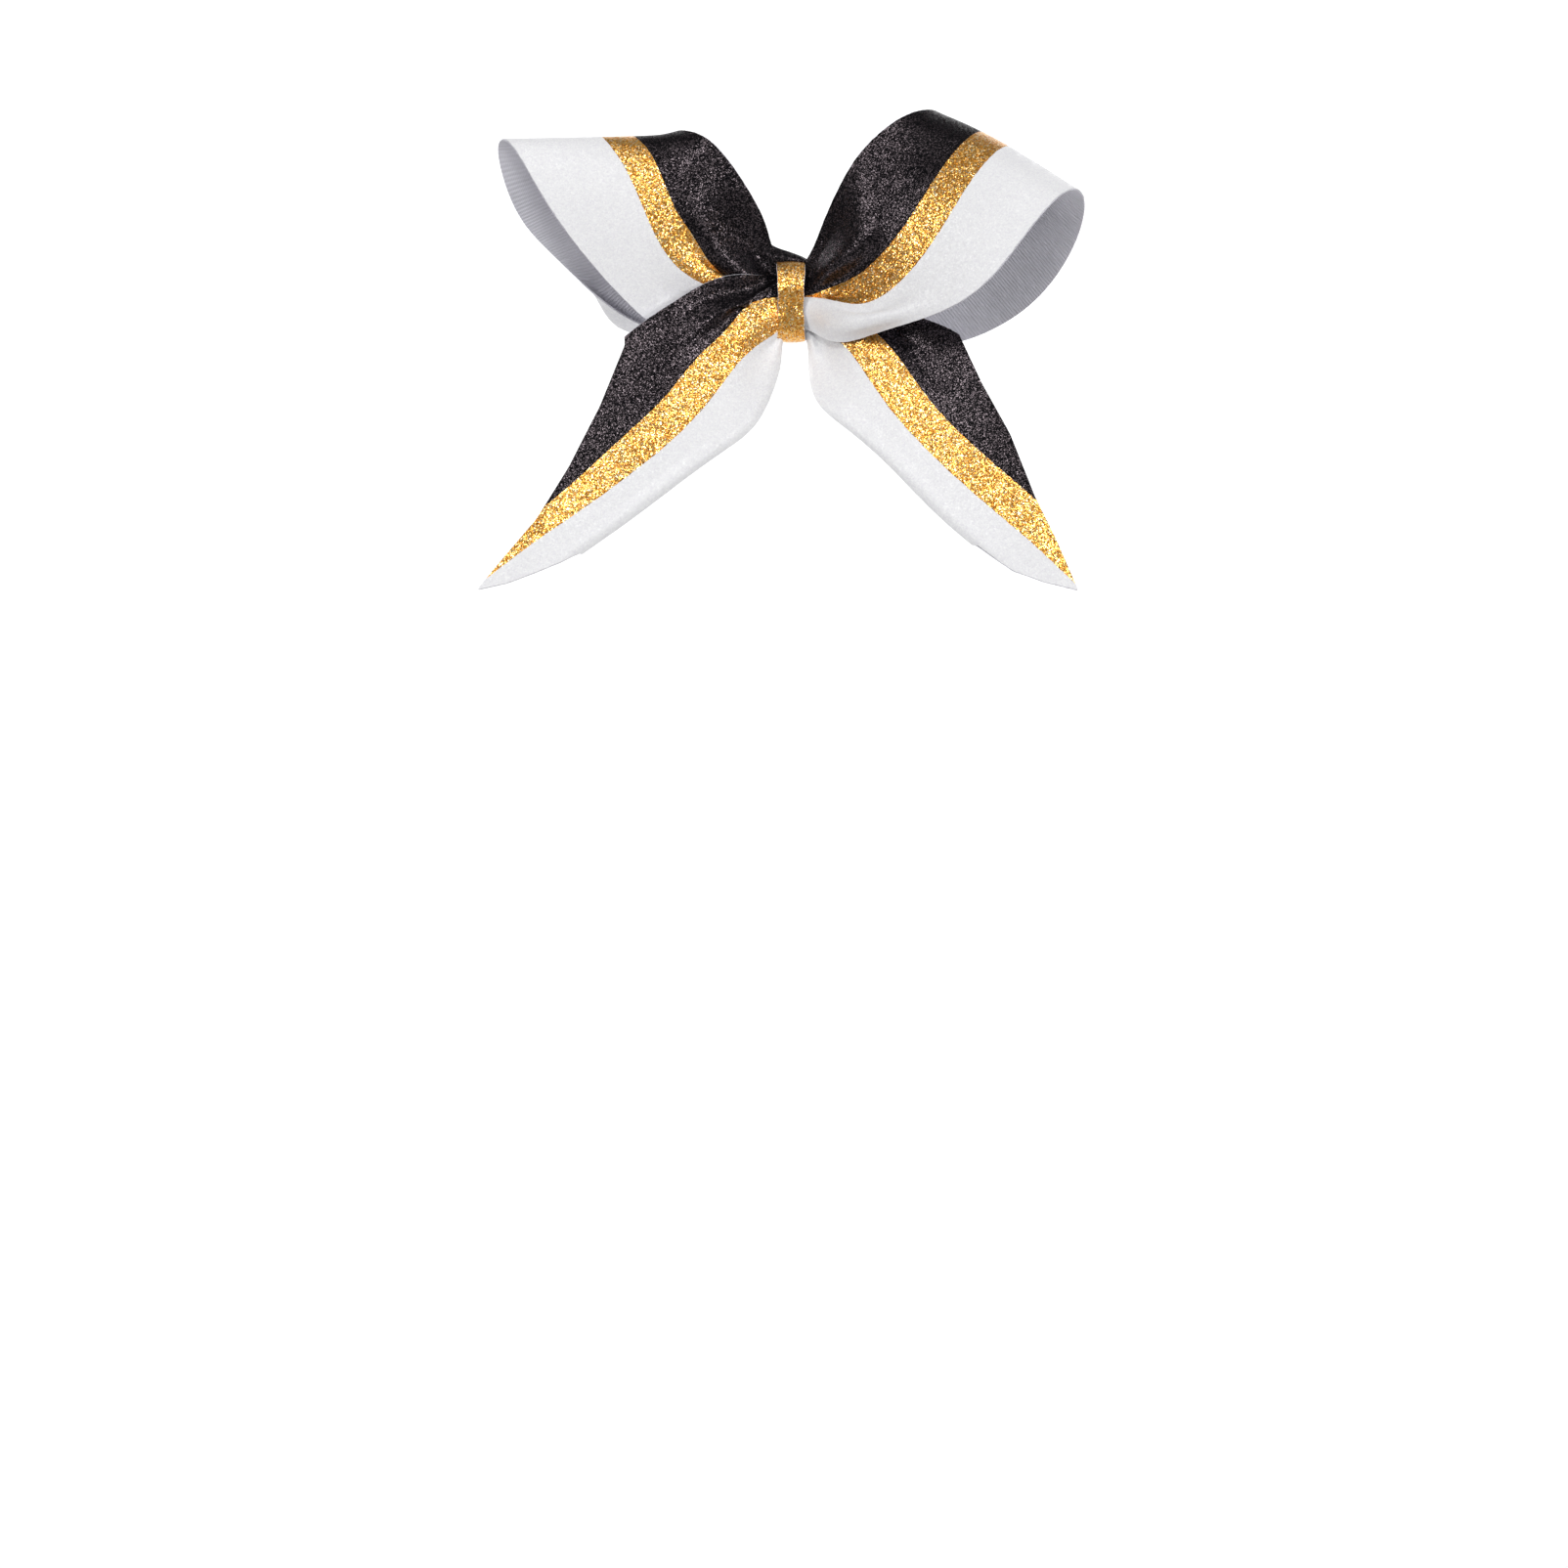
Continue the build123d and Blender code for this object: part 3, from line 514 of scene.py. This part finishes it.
class Strip:
    """The face of one stretch of ribbon: run counts rows along it, share goes 0 to 1 across it."""

    def __init__(self, name, stations, outward):
        self.name = name
        self.outward = outward
        self.loop = stations[-1] is BACK_WAIST
        self.control = LOOP_CONTROL if self.loop else TAIL_CONTROL
        rows = np.array(stations, float)
        gaps = np.linalg.norm(np.diff(rows[:, 1], axis=0), axis=1)
        columns = self.columns(rows)
        self.lines = np.stack(
            [smooth(hermite(columns[:, k], gaps, RUN_STEPS)) for k in range(len(self.control))], 1
        )
        self.slopes = np.gradient(self.lines, self.control, axis=1)
        middle = self.lines[:, GOLD_END_COLUMN]
        steps = np.linalg.norm(np.diff(middle, axis=0), axis=1)
        self.length = np.concatenate([[0], np.cumsum(steps)])
        self.rows = len(middle)

    def columns(self, rows):
        """Each row's points at the control shares, turned under and folded where the ribbon is."""
        if self.loop:
            columns = np.stack([self.plain(rows, share, 1) for share in self.control], 1)
        else:
            mirrored = np.minimum(self.control, 2 * TURN - self.control)
            columns = np.stack([self.plain(rows, share, TURN) for share in mirrored], 1)
            columns[:, :, 1] += TURN_GAP
        for (station, column), place in FOLDS[self.name].items():
            columns[station, column] = place
        for station, shift in GOLD_NARROWING.get(self.name, {}).items():
            for column, part in NARROWING_PARTS:
                columns[station, column] += TOWARDS_WHITE * shift * part
        return columns

    @staticmethod
    def plain(rows, share, end):
        """Parabola through the three points of each row, so the ribbon curves gently across."""
        m = GOLD_END
        black = (share - m) * (share - end) / (m * end)
        middle = share * (share - end) / (m * (m - end))
        white = share * (share - m) / (end * (end - m))
        return rows[:, 0] * black + rows[:, 1] * middle + rows[:, 2] * white

    def points(self, run, share):
        """Points at arrays run (in rows) and share, with no pleats."""
        low = np.clip(run.astype(int), 0, self.rows - 2)
        part = (run - low)[..., None]
        marks = self.control
        left = np.clip(np.searchsorted(marks, share, side="right") - 1, 0, len(marks) - 2)
        gap = (marks[left + 1] - marks[left])[..., None]
        t = (share - marks[left])[..., None] / gap

        def blend(field, column):
            return field[low, column] * (1 - part) + field[low + 1, column] * part

        p0, p1 = blend(self.lines, left), blend(self.lines, left + 1)
        m0, m1 = blend(self.slopes, left) * gap, blend(self.slopes, left + 1) * gap
        return span(p0, m0, p1, m1, t)

    def normals(self, run, share):
        """Outward normals, from neighbours a step along and a side share across."""
        step, side = 0.5, 0.004
        along = self.points(np.clip(run + step, 0, self.rows - 1), share)
        along = along - self.points(np.clip(run - step, 0, self.rows - 1), share)
        wide = self.points(run, share + side) - self.points(run, share - side)
        normal = np.cross(along, wide) * self.outward
        return normal / np.linalg.norm(normal, axis=-1, keepdims=True)

    def distance(self, run):
        """How far along the ribbon from the nearest waist, in millimetres."""
        far = np.interp(run, np.arange(self.rows), self.length)
        return np.minimum(far, self.length[-1] - far) if self.loop else far

    def relief(self, run, share):
        """Height of the pleats above the smooth face."""
        far = self.distance(run)
        back = self.loop and run > self.rows / 2
        height = np.zeros_like(far)
        for place, tall, half, peak, gone in PLEATS[self.name]:
            rise = np.clip((far - WAIST_REACH) / (peak - WAIST_REACH), 0, 1)
            fade = np.clip((gone - far) / (gone - peak), 0, 1)
            swell = ease(rise) * ease(fade)
            spread = half * (1 + far / gone)
            height += tall * swell * np.exp(-(((share - place) / spread) ** 2))
        return height * np.where(back, BACK_PLEATS, 1.0)

    def face(self, run, share, lift):
        """Points in metres, lift millimetres above the pleated face."""
        normal = self.normals(run, share)
        place = self.points(run, share) + normal * (self.relief(run, share) + lift)[..., None]
        return place * MM


CUT_STEPS = 2400        # steps in which a line is searched for its first crossing of the cut
CUT_SLACK = 0.001       # a crossing may miss the end of a straight of the cut by this share of it
TINY = 1e-12            # keeps a division clear of zero


def first_crossing(walk, line, a, b):
    """Where along walk the line first crosses the straight from a to b, or the end of walk."""
    edge = b - a
    offset = (line - a) @ np.array([-edge[1], edge[0]])
    place = ((line - a) @ edge / (edge @ edge))[:-1]
    within = (place >= -CUT_SLACK) & (place <= 1 + CUT_SLACK)
    crossings = np.nonzero((offset[:-1] * offset[1:] <= 0) & within)[0]
    if not len(crossings):
        return walk[-1]
    k = crossings[0]
    return walk[k] + (walk[k + 1] - walk[k]) * offset[k] / (offset[k] - offset[k + 1] + TINY)


def straights(cut):
    """The two ends of each straight of the cut."""
    for side in cut:
        points = np.array(side, float)
        yield from zip(points, points[1:])


def cut_runs(strip, cut, shares):
    """For each share of the width, the run at which its line crosses the spear cut."""
    walk = np.linspace(0, strip.rows - 1, CUT_STEPS)
    runs = []
    for share in shares:
        line = strip.points(walk, np.full_like(walk, share))[:, (0, 2)]
        runs.append(min(first_crossing(walk, line, a, b) for a, b in straights(cut)))
    return np.array(runs)


def finish_shell(name, outer, inner, faces, uv, material):
    """Object from the points of a shell's two faces, with a UV map in metres along and across."""
    mesh = bpy.data.meshes.new(name)
    mesh.from_pydata(np.vstack([outer.reshape(-1, 3), inner.reshape(-1, 3)]).tolist(), [], faces.tolist())
    layer = mesh.uv_layers.new(name="ribbon")
    flat = np.vstack([uv.reshape(-1, 2)] * 2)
    corners = np.empty(len(mesh.loops), dtype=np.int32)
    mesh.loops.foreach_get("vertex_index", corners)
    layer.data.foreach_set("uv", flat[corners].astype(np.float32).ravel())
    mesh.polygons.foreach_set("use_smooth", np.ones(len(mesh.polygons), dtype=bool))
    mesh.set_sharp_from_angle(angle=radians(50))
    mesh.materials.append(material)
    piece = bpy.data.objects.new(name, mesh)
    bpy.context.collection.objects.link(piece)
    point_outward(mesh)
    return piece


def shell(name, outer, inner, uv, material):
    """Closed thin shell between two grids of points."""
    rows, columns, _ = outer.shape
    count = rows * columns
    index = np.arange(count).reshape(rows, columns)
    quads = np.stack([index[:-1, :-1], index[1:, :-1], index[1:, 1:], index[:-1, 1:]], -1).reshape(-1, 4)
    rim = np.concatenate([index[0, :], index[1:, -1], index[-1, -2::-1], index[-2:0:-1, 0]])
    following = np.roll(rim, -1)
    walls = np.stack([rim, following, following + count, rim + count], -1)
    faces = np.vstack([quads, quads[:, ::-1] + count, walls])
    return finish_shell(name, outer, inner, faces, uv, material)


def point_outward(mesh):
    """Turn the faces outward if the shell came out inside-out."""
    mesh.calc_loop_triangles()
    corners = np.empty(len(mesh.loop_triangles) * 3, dtype=np.int32)
    mesh.loop_triangles.foreach_get("vertices", corners)
    places = np.empty(len(mesh.vertices) * 3)
    mesh.vertices.foreach_get("co", places)
    a, b, c = places.reshape(-1, 3)[corners.reshape(-1, 3)].transpose(1, 0, 2)
    if np.einsum("ij,ij->i", a, np.cross(b, c)).sum() < 0:
        mesh.flip_normals()


STEADY_SHARE = 0.6      # mesh rows lie straight across this much of a strip, then turn into the cut


def grid(strip, start, end, columns, cut):
    """Run and share at each point of a mesh grid between two shares of the width."""
    shares = np.linspace(start, end, columns)
    if cut is None:
        ends = np.full(columns, strip.rows - 1.0)
    else:
        ends = cut_runs(strip, cut, shares)
    steady_end = ends.min() * STEADY_SHARE
    steady = np.arange(0, steady_end, 1.0)
    rest = np.linspace(0, 1, int(strip.rows - len(steady)) + 2)[:, None]
    lower = steady_end + rest * (ends[None, :] - steady_end)
    upper = np.repeat(steady[:, None], columns, axis=1)
    run = np.vstack([upper, lower])
    return run, np.repeat(shares[None, :], len(run), axis=0)


def taper(strip, run, waist, plain, reach=14.0):
    """Thickness: gathered at the waist, plain ribbon beyond reach millimetres."""
    share = np.clip((strip.distance(run) - WAIST_REACH) / (reach - WAIST_REACH), 0, 1)
    return waist + (plain - waist) * ease(share)


def half_thickness(strip, run):
    """Half the ribbon's own thickness, without its films."""
    return taper(strip, run, GATHERED_RIBBON / 2, RIBBON_THICK / 2)


def tag(piece, node):
    """A piece that rides the bow and stands for a CAD node."""
    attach(piece, "bow")
    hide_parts(node)


def make_film(strip, film, start, end, columns, cut):
    """One glitter film on the face of a strip, with slightly uneven edges."""
    run, share = grid(strip, start, end, columns, cut)
    grain = RNG.normal(0, EDGE_GRAIN, (len(run), 2)).clip(-2 * EDGE_GRAIN, 2 * EDGE_GRAIN)
    share[:, 0] += grain[:, 0]
    share[:, -1] += grain[:, 1]
    low = half_thickness(strip, run) + FILM_GAP
    high = low + taper(strip, run, GATHERED_FILM, FILM_THICK)
    uv = np.stack([run * MM, share * RIBBON_WIDTH * MM], -1)
    outer, inner = strip.face(run, share, high), strip.face(run, share, low)
    piece = shell(f"visual_{film}_{strip.name}", outer, inner, uv, MATERIALS[film])
    tag(piece, f"{film}_{strip.name}")
    return piece


def make_strip(name, stations, outward, cut=None):
    """One stretch of ribbon and its three films."""
    strip = Strip(name, stations, outward)
    run, share = grid(strip, 0, 1, RIBBON_COLUMNS, cut)
    half = half_thickness(strip, run)
    along = np.interp(run, np.arange(strip.rows), strip.length) * MM
    wide = RIBBON_WIDTH * MM
    uv = np.stack([along, share * wide], -1)
    outer, inner = strip.face(run, share, half), strip.face(run, share, -half)
    ribbon = shell("visual_ribbon_" + name, outer, inner, uv, MATERIALS["grosgrain"])
    tag(ribbon, "ribbon_" + name)
    films = [make_film(strip, *film, cut) for film in FILMS]


# ---- Centre wrap, millimetres ----
WRAP_CENTRE_Y, WRAP_CENTRE_Z = -4.95, -0.2
WRAP_HALF_DEPTH, WRAP_HALF_HEIGHT = 4.2, 9.4
WRAP_FRONT_POWER, WRAP_BACK_POWER = 0.74, 0.5
BULGE, BULGE_Z, BULGE_REACH = 1.6, 4.0, 5.0
WRAP_LEFT, WRAP_RIGHT = -4.4, 3.0
WRAP_THICK, WRAP_FILM_THICK = 0.4, 0.25
WRAP_FILM_INSET = 0.12
WRAP_TURNS, WRAP_COLUMNS = 180, 18      # points of mesh round the band and across it
PINCH_LEFT, PINCH_RIGHT = 0.35, 0.42    # how far the edges bend in at the middle of the front
PINCH_Z, PINCH_REACH = -0.5, 9.0
PINCH_START_Y, PINCH_FADE = -5.5, 2.0
LEFT_WAVER = (0.05, 1.3, 0.0)           # height, radians to the millimetre and phase
RIGHT_WAVER = (0.06, 1.1, 1.0)
CROWN = 0.35                            # height of the band's middle over its edges
RIPPLE, RIPPLE_ALONG, RIPPLE_ACROSS, RIPPLE_PHASE = 0.07, 0.9, 9, 0.5


def wrap_ring(turns):
    """The wrap's loop in Y and Z: it bulges in front and is flatter where it lies on the clip."""
    angle = np.linspace(0, 2 * pi, turns, endpoint=False)
    c, s = np.cos(angle), np.sin(angle)
    power = np.where(c < 0, WRAP_FRONT_POWER, WRAP_BACK_POWER)
    y = WRAP_CENTRE_Y + WRAP_HALF_DEPTH * np.sign(c) * np.abs(c) ** power
    z = WRAP_CENTRE_Z + WRAP_HALF_HEIGHT * np.sign(s) * np.abs(s) ** power
    y -= BULGE * np.exp(-((z - BULGE_Z) / BULGE_REACH) ** 2) * (c < 0)
    step = np.hypot(np.roll(y, -1) - y, np.roll(z, -1) - z)
    walk = np.concatenate([[0], np.cumsum(step)])
    even = np.linspace(0, walk[-1], turns, endpoint=False)
    return np.stack([np.interp(even, walk, np.append(v, v[0])) for v in (y, z)], -1), even


def waver(height, tall, rate, phase):
    return tall * np.sin(height * rate + phase)


def wrap_edges(ring, inset):
    """X of the band's two edges round the ring: they waver, and pinch in at the front."""
    depth, height = ring[:, 0], ring[:, 1]
    front = np.clip((PINCH_START_Y - depth) / PINCH_FADE, 0, 1)
    pinch = front * np.cos(np.clip((height - PINCH_Z) / PINCH_REACH, -1, 1) * pi / 2)
    left = WRAP_LEFT + inset + PINCH_LEFT * pinch + waver(height, *LEFT_WAVER)
    right = WRAP_RIGHT - inset - PINCH_RIGHT * pinch + waver(height, *RIGHT_WAVER)
    return left, right


def band_faces():
    """Faces of a closed band: its two sides and its two rims."""
    count = WRAP_TURNS * WRAP_COLUMNS
    index = np.arange(count).reshape(WRAP_TURNS, WRAP_COLUMNS)
    after = np.roll(index, -1, axis=0)
    quads = np.stack([index[:, :-1], after[:, :-1], after[:, 1:], index[:, 1:]], -1).reshape(-1, 4)
    left = np.stack([index[:, 0], index[:, 0] + count, after[:, 0] + count, after[:, 0]], -1)
    right = np.stack([index[:, -1], after[:, -1], after[:, -1] + count, index[:, -1] + count], -1)
    return np.vstack([quads, quads[:, ::-1] + count, left, right])


def wrap_band(name, lift, thick, inset, material):
    """Band round the waist, a little narrower at its middle height and crowned across."""
    ring, walk = wrap_ring(WRAP_TURNS)
    ahead = np.roll(ring, -1, axis=0) - np.roll(ring, 1, axis=0)
    out = np.stack([ahead[:, 1], -ahead[:, 0]], -1)
    out /= np.linalg.norm(out, axis=1, keepdims=True)
    left, right = wrap_edges(ring, inset)
    share = np.linspace(0, 1, WRAP_COLUMNS)
    x = left[:, None] + (right - left)[:, None] * share
    arch = np.sin(share * pi)[None, :]
    across = np.sin(share * RIPPLE_ACROSS + RIPPLE_PHASE)
    waves = np.sin(walk * RIPPLE_ALONG)[:, None] * across[None, :]
    crown = CROWN * arch + RIPPLE * waves * arch

    def surface(rise):
        flat = ring[:, None, :] + out[:, None, :] * (rise + crown)[..., None]
        return np.concatenate([x[..., None], flat], -1) * MM

    uv = np.stack([np.repeat(walk[:, None] * MM, WRAP_COLUMNS, 1), x * MM], -1)
    return finish_shell(name, surface(lift + thick), surface(lift), band_faces(), uv, material)


def make_wrap():
    """The wrap's ribbon and its gold film."""
    ribbon = wrap_band("visual_centre_wrap", 0.0, WRAP_THICK, 0.0, MATERIALS["grosgrain"])
    tag(ribbon, "centre_wrap")
    lift = WRAP_THICK + FILM_GAP
    gold = MATERIALS["gold_glitter"]
    film = wrap_band("visual_centre_wrap_glitter", lift, WRAP_FILM_THICK, WRAP_FILM_INSET, gold)
    tag(film, "centre_wrap_glitter")


# ---- The flap of ribbon above the wrap, millimetres ----
FLAP_TOP = ((-8.0, -5.4, 16.2), (-4.7, -4.7, 14.0), (-0.6, -4.3, 12.6), (3.3, -4.4, 10.9), (6.0, -5.0, 8.0))
FLAP_LOW = ((-8.0, -6.4, 10.0), (-4.7, -6.4, 9.5), (-0.6, -6.4, 9.5), (3.3, -6.2, 9.3), (6.0, -5.8, 6.5))
FLAP_BULGE = 1.1
FLAP_THICK = 0.4
FLAP_FILM_THICK = 0.25
FLAP_STEPS, FLAP_COLUMNS = 12, 14


def make_flap():
    """Black edge of the gathered ribbon that stands up behind the top of the wrap."""
    edges = []
    for edge in (FLAP_TOP, FLAP_LOW):
        points = np.array(edge)
        edges.append(hermite(points, np.linalg.norm(np.diff(points, axis=0), axis=1), FLAP_STEPS)[:, None])
    share = np.linspace(0, 1, FLAP_COLUMNS)[None, :, None]
    face = edges[0] * (1 - share) + edges[1] * share
    face[..., 1] -= FLAP_BULGE * np.sin(share[..., 0] * pi)
    back = np.array((0, FLAP_THICK, 0))
    film = np.array((0, -FLAP_FILM_THICK, 0))
    uv = face[..., (0, 2)] * MM
    ribbon = shell("visual_pleat", face * MM, (face + back) * MM, uv, MATERIALS["grosgrain"])
    cover = shell("visual_pleat_glitter", (face + film) * MM, face * MM, uv, MATERIALS["black_glitter"])
    for piece, slot in ((ribbon, "grosgrain"), (cover, "glitter_black")):
        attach(piece, "bow")


# ---- Clip ----
def paint(node, material):
    """Give a CAD node's object its material."""
    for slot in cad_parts[node].material_slots:
        slot.material = MATERIALS[material]


def make_spring():
    """Torsion spring: a copy of the CAD spring in spring steel."""
    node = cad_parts["clip_torsion_spring"]
    mesh = node.data.copy()
    mesh.transform(node.matrix_world)
    mesh.materials.clear()
    mesh.materials.append(MATERIALS["spring_steel"])
    spring = bpy.data.objects.new("visual_torsion_spring", mesh)
    bpy.context.collection.objects.link(spring)
    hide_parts("clip_torsion_spring")
    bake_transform(spring)


def paint_clip():
    """Materials of the CAD pieces that are shown as they are."""
    for node in ("clip_front_jaw", "clip_back_jaw", "clip_hinge_pin"):
        paint(node, "clip_steel")
    paint("clip_liner", "liner")
    paint("cinch_thread", "thread")
    paint("glue_pads", "hot_glue")


# ---- Stage, metres ----
CAMERA_DISTANCE = 1.6
CAMERA_X, CAMERA_Z = -0.0025, -0.124
SENSOR = 36
FRAME_WIDTH = 0.401     # what the camera takes in at the depth of the bow's face
FACE_DEPTH = 0.012
FLOOR_Z, BACKDROP_Y = -1.0, 1.2
BACKDROP_REACH = 4.0
SWEEP_RADIUS, SWEEP_STEPS = 0.5, 12     # of the curve between the floor and the backdrop
SKY_COLOUR, SKY_STRENGTH = (0.96, 0.96, 1.0, 1), 0.14
MIDDLE = (0, 0, -0.01)
LAMPS = (               # name, place, aim, side, watts
    ("key", (-0.1, -1.4, 0.8), MIDDLE, 0.45, 8),
    ("top", (0.0, -0.6, 1.25), MIDDLE, 0.6, 1.5),
    ("left", (-1.05, -1.1, 0.2), MIDDLE, 0.45, 7),
    ("right", (1.05, -1.1, 0.3), MIDDLE, 0.45, 8),
    ("backdrop left", (-0.9, 0.45, 0.5), (-0.3, 1.2, -0.1), 0.7, 12),
    ("backdrop right", (0.9, 0.45, 0.5), (0.3, 1.2, -0.1), 0.7, 12),
)


def camera():
    data = bpy.data.cameras.new("camera")
    data.sensor_width = SENSOR
    data.lens = SENSOR * (CAMERA_DISTANCE - FACE_DEPTH) / FRAME_WIDTH
    data.dof.use_dof = False
    eye = bpy.data.objects.new("camera", data)
    eye.location = (CAMERA_X, -CAMERA_DISTANCE, CAMERA_Z)
    eye.rotation_euler = (radians(90), 0, 0)
    bpy.context.collection.objects.link(eye)
    bpy.context.scene.camera = eye


def backdrop():
    """Pale floor that sweeps up into the backdrop."""
    profile = [(-BACKDROP_REACH, FLOOR_Z)]
    for k in range(SWEEP_STEPS + 1):
        a = radians(90 * k / SWEEP_STEPS)
        y = BACKDROP_Y - SWEEP_RADIUS + SWEEP_RADIUS * sin(a)
        profile.append((y, FLOOR_Z + SWEEP_RADIUS - SWEEP_RADIUS * cos(a)))
    profile.append((BACKDROP_Y, BACKDROP_REACH))
    points = [(x, y, z) for y, z in profile for x in (-BACKDROP_REACH, BACKDROP_REACH)]
    faces = [(2 * i, 2 * i + 1, 2 * i + 3, 2 * i + 2) for i in range(len(profile) - 1)]
    mesh = bpy.data.meshes.new("floor")
    mesh.from_pydata(points, [], faces)
    mesh.polygons.foreach_set("use_smooth", [True] * len(faces))
    mesh.materials.append(backdrop_paint())
    floor = bpy.data.objects.new("floor", mesh)
    bpy.context.collection.objects.link(floor)


def sky():
    """Even dim light from all round."""
    world = bpy.data.worlds.new("world")
    world.use_nodes = True
    background = world.node_tree.nodes["Background"]
    background.inputs["Color"].default_value = SKY_COLOUR
    background.inputs["Strength"].default_value = SKY_STRENGTH
    bpy.context.scene.world = world


def lamp(name, place, aim, size, power):
    """Square area lamp at a place, turned to its aim."""
    data = bpy.data.lights.new(name, "AREA")
    data.size = size
    data.energy = power
    light = bpy.data.objects.new(name, data)
    light.location = place
    beam = Vector(np.array(aim) - np.array(place))
    light.rotation_euler = beam.to_track_quat("-Z", "Y").to_euler()
    bpy.context.collection.objects.link(light)


def stage():
    backdrop()
    sky()
    for settings in LAMPS:
        lamp(*settings)
    bpy.context.scene.view_settings.view_transform = "Standard"


camera()
stage()
make_strip("left_tail", LEFT_TAIL, 1, LEFT_CUT)
make_strip("right_tail", RIGHT_TAIL, -1, RIGHT_CUT)
make_strip("left_loop", LEFT_LOOP, 1)
make_strip("right_loop", RIGHT_LOOP, -1)
make_wrap()
make_flap()
make_spring()
paint_clip()
